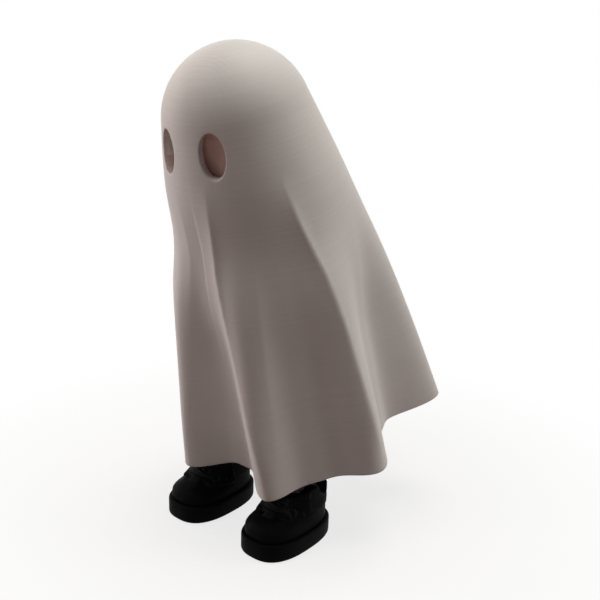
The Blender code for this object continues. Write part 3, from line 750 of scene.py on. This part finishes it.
def collar_top(y):
    """The height of the collar's edge this far back: low in front, and notched behind its peak."""
    climb = smoothstep(y, SHAFT_FRONT, COLLAR_PEAK)
    height = COLLAR_FRONT_HEIGHT + (COLLAR_HEIGHT - COLLAR_FRONT_HEIGHT) * climb
    height -= (COLLAR_HEIGHT - COLLAR_BACK_HEIGHT) * smoothstep(y, COLLAR_PEAK, SHAFT_BACK)
    from_notch = abs(y - (SHAFT_BACK - NOTCH_FROM_BACK))
    if from_notch >= NOTCH_RADIUS:
        return height
    return height - math.sqrt(NOTCH_RADIUS**2 - from_notch**2)


def dress_boot_node(kind, label, bm, place, material=BOOT_BLACK):
    """Adds a mesh that stands for one CAD node of a boot."""
    node = f"{kind}_{label}"
    add_piece(f"{node}_looks", bm, material, f"boot_{label}", place, replaced=[node])


def add_sole(label, place):
    """The sole: a thick slab with a rounded tread edge and top edge."""
    side_rows = []
    for bend in quarter_turns(SOLE_EDGE_STEPS):
        inset = SOLE_TREAD_EDGE * (1 - math.sin(bend))
        side_rows.append((SOLE_TREAD_EDGE * (1 - math.cos(bend)), inset))
    for bend in quarter_turns(SOLE_EDGE_STEPS):
        height = SOLE_THICKNESS - SOLE_TOP_EDGE * (1 - math.sin(bend))
        side_rows.append((height, SOLE_TOP_EDGE * (1 - math.cos(bend))))
    side_rows.append((SOLE_THICKNESS, SOLE_TOP_INSET))
    rings = []
    for height, inset in side_rows:
        half_length = SOLE_LENGTH / 2 - inset
        half_width = SOLE_WIDTH / 2 - inset
        rings.append(
            [
                oblong_point(turn, -half_length, half_length, half_width, height, SOLE_SQUARENESS)
                for turn in turns_round()
            ]
        )
    dress_boot_node("boot_sole", label, ringed_mesh(rings), place)


def add_upper(label, place):
    """The upper: toe cap, lace flaps and shaft outside, a rolled collar, and the well inside."""
    rings = []
    for k in range(TOE_ROWS + 1):
        rise = 1 - (1 - k / TOE_ROWS) ** TOE_ROW_CROWDING
        height = SOLE_THICKNESS + rise * (TOE_CAP_HEIGHT - SOLE_THICKNESS)
        rings.append([upper_point(height, turn) for turn in turns_round()])
    for k in range(1, INSTEP_ROWS + 1):
        height = TOE_CAP_HEIGHT + k / INSTEP_ROWS * (INSTEP_HEIGHT - TOE_CAP_HEIGHT)
        rings.append([upper_point(height, turn) for turn in turns_round()])

    def shaft_ring(share):
        ring = []
        for turn in turns_round():
            top = collar_top(plain_upper(COLLAR_HEIGHT, turn).y) - COLLAR_ROLL
            ring.append(upper_point(INSTEP_HEIGHT + share * (top - INSTEP_HEIGHT), turn))
        return ring

    rings += [shaft_ring(k / SHAFT_ROWS) for k in range(1, SHAFT_ROWS + 1)]
    well_half = WELL_LENGTH / 2
    front, back = SHAFT_BEHIND_MIDDLE - well_half, SHAFT_BEHIND_MIDDLE + well_half

    def well_ring(height_at):
        ring = []
        for turn in turns_round():
            point = oblong_point(turn, front, back, WELL_WIDTH / 2, 0.0, WELL_SQUARENESS)
            point.z = height_at(point.y)
            ring.append(point)
        return ring

    outer = rings[-1]
    inner = well_ring(lambda y: collar_top(y) - COLLAR_ROLL)
    for k in range(1, COLLAR_STEPS):
        bend = math.pi * k / COLLAR_STEPS
        across = 0.5 - 0.5 * math.cos(bend)
        lift = COLLAR_ROLL * math.sin(bend)
        ring = []
        for a, b in zip(outer, inner):
            point = a.lerp(b, across)
            point.z += lift
            ring.append(point)
        rings.append(ring)
    rings.append(inner)
    rings.append(well_ring(lambda y: ANKLE_HEIGHT))
    rings.append(well_ring(lambda y: WELL_FLOOR))
    dress_boot_node("boot_upper", label, ringed_mesh(rings), place)


def middle_line(share):
    """The height on the upper's middle line from the toe cap's edge, 0, to the collar, 1."""
    start = TOE_CAP_HEIGHT - TONGUE_UNDER_CAP
    return start + share * (COLLAR_FRONT_HEIGHT + TONGUE_ABOVE_COLLAR - start)


def add_tongue(label, place):
    """The tongue: a padded strip up the instep and the front of the shaft."""
    rings = []
    for k in range(TONGUE_ROWS + 1):
        height = middle_line(k / TONGUE_ROWS)
        swell = math.sqrt(max(1 - (2 * k / TONGUE_ROWS - 1) ** TONGUE_END_SQUARENESS, 0.0))
        half = TONGUE_HALF_WIDTH * (TONGUE_END_WIDTH + (1 - TONGUE_END_WIDTH) * swell)
        top, bottom = [], []
        for j in range(TONGUE_COLUMNS + 1):
            across = 2 * j / TONGUE_COLUMNS - 1
            turn = math.asin(min(across * half / (SHAFT_WIDTH / 2), 1.0)) * TONGUE_WRAP
            pad = TONGUE_RISE * swell * (1 - across**TONGUE_SIDE_SQUARENESS) - TONGUE_SINK
            surface = plain_upper(height, turn)
            normal = upper_normal(height, turn)
            top.append(surface + normal * pad)
            bottom.append(surface - normal * TONGUE_DEPTH)
        rings.append(top + bottom[::-1])
    add_piece(
        f"boot_tongue_{label}", ringed_mesh(rings), BOOT_BLACK, f"boot_{label}", place
    )


def tube(bm, points, radius):
    """A round closed tube along points, with narrower tips."""
    count = len(points)
    rings = []
    side_way = None
    for k, point in enumerate(points):
        ahead = (points[min(k + 1, count - 1)] - points[max(k - 1, 0)]).normalized()
        if side_way is None:
            side_way = ahead.orthogonal()
        side_way = (side_way - ahead * side_way.dot(ahead)).normalized()
        other = ahead.cross(side_way)
        size = radius * (LACE_TIP if k in (0, count - 1) else 1.0)
        rings.append(
            [
                point + size * math.cos(turn) * side_way + size * math.sin(turn) * other
                for turn in turns_round(LACE_SIDES)
            ]
        )
    add_rings(bm, rings)


def curve_through(points):
    """A smooth run of points through the given ones."""
    run = []
    for k in range(len(points) - 1):
        before, start = points[max(k - 1, 0)], points[k]
        end, after = points[k + 1], points[min(k + 2, len(points) - 1)]
        for j in range(BOW_STEPS):
            t = j / BOW_STEPS
            run.append(
                (
                    2 * start
                    + (end - before) * t
                    + (2 * before - 5 * start + 4 * end - after) * t**2
                    + (3 * start - before - 3 * end + after) * t**3
                )
                / 2
            )
    return run + [points[-1]]


def ring_tube(bm, middle, normal, radius, thick):
    """A small round ring that lies flat on a surface."""
    first_way = normal.orthogonal().normalized()
    other = normal.cross(first_way)
    loops = []
    for turn in turns_round(EYELET_TURNS):
        out = math.cos(turn) * first_way + math.sin(turn) * other
        loops.append(
            [
                bm.verts.new(
                    middle
                    + out * (radius + thick * math.cos(bend))
                    + normal * thick * math.sin(bend)
                )
                for bend in turns_round(EYELET_SIDES)
            ]
        )
    for first, second in zip(loops, loops[1:] + loops[:1]):
        bridge(bm, first, second)


def add_laces(label, place):
    """Eyelets up both sides, and a lace that crosses between them and ends in a bow."""
    eyelets = bmesh.new()
    lace = bmesh.new()
    for side in (1, -1):
        for degrees, height in EYELETS:
            turn = side * math.radians(degrees)
            middle = upper_point(height, turn, EYELET_LIFT)
            ring_tube(eyelets, middle, upper_normal(height, turn), EYELET_RADIUS, EYELET_TUBE)

    def crossing(start, end, lift):
        """A stretch of lace that arches over the tongue from one eyelet to another."""
        points = []
        top = TONGUE_RISE - FLAP_RISE + LACE_RADIUS + lift
        for k in range(CROSSING_STEPS + 1):
            share = k / CROSSING_STEPS
            turn = math.radians(start[0] + (end[0] - start[0]) * share)
            height = start[1] + (end[1] - start[1]) * share
            arch = math.sin(math.pi * share) ** LACE_ARCH_FULLNESS
            points.append(upper_point(height, turn, top * arch - LACE_SINK))
        tube(lace, points, LACE_RADIUS)

    def mirrored(eyelet):
        return (-eyelet[0], eyelet[1])

    crossing(mirrored(EYELETS[0]), EYELETS[0], 0.0)
    for lower, upper in zip(EYELETS, EYELETS[1:]):
        crossing(mirrored(lower), upper, LOWER_CROSSING_LIFT)
        crossing(lower, mirrored(upper), UPPER_CROSSING_LIFT)
    knot = Vector(BOW_KNOT) * MM
    for side in (1, -1):
        mirror = Vector((side * MM, MM, MM))
        loop = [knot] + [Vector(point) * mirror for point in BOW_LOOP] + [knot]
        end = [knot] + [Vector(point) * mirror for point in BOW_END]
        tube(lace, curve_through(loop), LACE_RADIUS)
        tube(lace, curve_through(end), LACE_RADIUS)
    bmesh.ops.create_uvsphere(
        lace,
        u_segments=BOW_KNOT_TURNS,
        v_segments=BOW_KNOT_ROWS,
        radius=BOW_KNOT_RADIUS,
        matrix=Matrix.Translation(knot),
    )
    dress_boot_node("boot_laces", label, lace, place, LACE_BLACK)
    add_piece(f"boot_eyelets_{label}", eyelets, LACE_BLACK, f"boot_{label}", place)


def add_pull_tab(label, place):
    """The pull tab: a strap with soft edges and thinner ends."""
    rings = []
    middle = SHAFT_BACK + TAB_GAP + TAB_THICKNESS / 2
    for k in range(TAB_ROWS + 1):
        share = k / TAB_ROWS
        end = min(share, 1 - share) * TAB_LENGTH
        full = math.sqrt(min(end / TAB_END_LENGTH, 1.0))
        thin = TAB_END_THICKNESS + (1 - TAB_END_THICKNESS) * full
        half = TAB_THICKNESS / 2 * thin
        wide = TAB_WIDTH / 2 * (TAB_END_WIDTH + (1 - TAB_END_WIDTH) * thin)
        height = TAB_TOP - TAB_LENGTH + share * TAB_LENGTH
        rings.append(
            [
                oblong_point(turn, middle - half, middle + half, wide, height, TAB_SQUARENESS)
                for turn in turns_round(TAB_TURNS)
            ]
        )
    dress_boot_node("pull_tab", label, ringed_mesh(rings), place)


def make_boots():
    """Both boots, each over the middle of its own CAD sole."""
    for label in ("left", "right"):
        low, high = (Vector(corner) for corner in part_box(f"boot_sole_{label}"))
        middle = (low + high) / 2
        place = Matrix.Translation((middle.x, middle.y, 0))
        add_sole(label, place)
        add_upper(label, place)
        add_tongue(label, place)
        add_laces(label, place)
        add_pull_tab(label, place)


# Carried-over CAD nodes


def dress_cad_nodes():
    """Gives each CAD node its printed material, and softens the edges of those that stay."""
    for name, node in frame["nodes"].items():
        if name.startswith(("boot", "pull", "ankle")):
            material = BOOT_BLACK
        elif name == "inner_head":
            material = SALMON
        else:
            material = LIMB_WHITE
        node.data.materials.clear()
        node.data.materials.append(material)
        if not name.startswith(("sheet", "boot", "pull")):
            edges = node.modifiers.new("edges", "BEVEL")
            edges.width = PRINT_EDGE
            edges.segments = PRINT_EDGE_STEPS
            edges.limit_method = "ANGLE"
            edges.angle_limit = SHARP_EDGE


# Stage


def seen_directly(tree):
    """A socket that is 1 for camera, glossy and transmission rays, and 0 for the light's bounces."""
    path = add_node(tree, "LightPath")
    seen = path.outputs["Is Camera Ray"]
    for name in ("Is Glossy Ray", "Is Transmission Ray"):
        either = add_node(tree, "Math", {0: seen, 1: path.outputs[name]}, operation="MAXIMUM")
        seen = either.outputs[0]
    return seen


def floor_material():
    """Nearly white to the camera, whiter further out, and dim to the light that bounces off it."""
    material, tree, shader = node_material("pale_floor")
    seen = seen_directly(tree)
    tones = {"Factor": seen, "A": FLOOR_BOUNCE, "B": WHITE}
    tone = add_node(tree, "Mix", tones, data_type="RGBA").outputs["Result"]
    shader.inputs["Roughness"].default_value = FLOOR_ROUGHNESS
    tree.links.new(tone, shader.inputs["Base Color"])
    place = add_node(tree, "TexCoord").outputs["Object"]
    distance = add_node(tree, "VectorMath", {0: place}, operation="LENGTH").outputs["Value"]
    whitening = {
        "Value": distance,
        "From Min": FLOOR_WHITE_FROM,
        "From Max": FLOOR_WHITE_FULL,
        "To Min": FLOOR_WHITE_NEAR,
        "To Max": 1.0,
    }
    whiteness = add_node(tree, "MapRange", whitening).outputs["Result"]
    share = add_node(tree, "Math", {0: seen, 1: whiteness}, operation="MULTIPLY").outputs[0]
    white = add_node(tree, "Emission", {"Strength": 1.0}).outputs[0]
    mix = add_node(tree, "MixShader", {"Fac": share, 1: shader.outputs[0], 2: white})
    tree.links.new(mix.outputs[0], tree.nodes["Material Output"].inputs["Surface"])
    return material


def make_floor():
    """A plain pale floor, with the object's shadow left on it."""
    bm = bmesh.new()
    bmesh.ops.create_grid(bm, x_segments=1, y_segments=1, size=FLOOR_HALF)
    mesh = bpy.data.meshes.new("floor")
    bm.to_mesh(mesh)
    bm.free()
    mesh.materials.append(floor_material())
    floor = bpy.data.objects.new("floor", mesh)
    bpy.context.scene.collection.objects.link(floor)


def make_world():
    """A dim warm surround that lights the object, and plain white to the camera."""
    world = bpy.data.worlds.new("surround")
    bpy.context.scene.world = world
    world.use_nodes = True
    tree = world.node_tree
    surround = tree.nodes["Background"]
    surround.inputs["Color"].default_value = SURROUND_COLOUR
    surround.inputs["Strength"].default_value = SURROUND_STRENGTH
    white = add_node(tree, "Background", {"Color": WHITE, "Strength": 1.0})
    sides = {"Fac": seen_directly(tree), 1: surround.outputs[0], 2: white.outputs[0]}
    mix = add_node(tree, "MixShader", sides)
    tree.links.new(mix.outputs[0], tree.nodes["World Output"].inputs["Surface"])


def add_lamp(name, place, size, watts, colour):
    """A square soft lamp that points at the middle of the figurine."""
    lamp = bpy.data.lights.new(name, "AREA")
    lamp.shape = "SQUARE"
    lamp.size = size
    lamp.energy = watts
    lamp.color = colour
    holder = bpy.data.objects.new(name, lamp)
    holder.location = place
    aim = LAMP_AIM - Vector(place)
    holder.rotation_euler = aim.to_track_quat("-Z", "Y").to_euler()
    bpy.context.scene.collection.objects.link(holder)


def make_camera():
    """The camera that took the photograph, as fitted to the outline."""
    lens = bpy.data.cameras.new("camera")
    lens.sensor_width = SENSOR
    lens.lens = FOCAL_PIXELS / FRAME_PIXELS * SENSOR
    lens.clip_start = CAMERA_NEAR
    camera = bpy.data.objects.new("camera", lens)
    turn = (
        Matrix.Rotation(CAMERA_AZIMUTH, 4, "Z")
        @ Matrix.Rotation(math.pi / 2 - CAMERA_PITCH, 4, "X")
        @ Matrix.Rotation(CAMERA_ROLL, 4, "Z")
    )
    camera.matrix_world = Matrix.Translation(CAMERA_PLACE) @ turn
    bpy.context.scene.collection.objects.link(camera)
    bpy.context.scene.camera = camera


make_camera()
dress_cad_nodes()
make_sheet()
make_boots()
make_floor()
make_world()
for lamp_values in LAMPS:
    add_lamp(*lamp_values)
bpy.context.scene.view_settings.view_transform = "Standard"
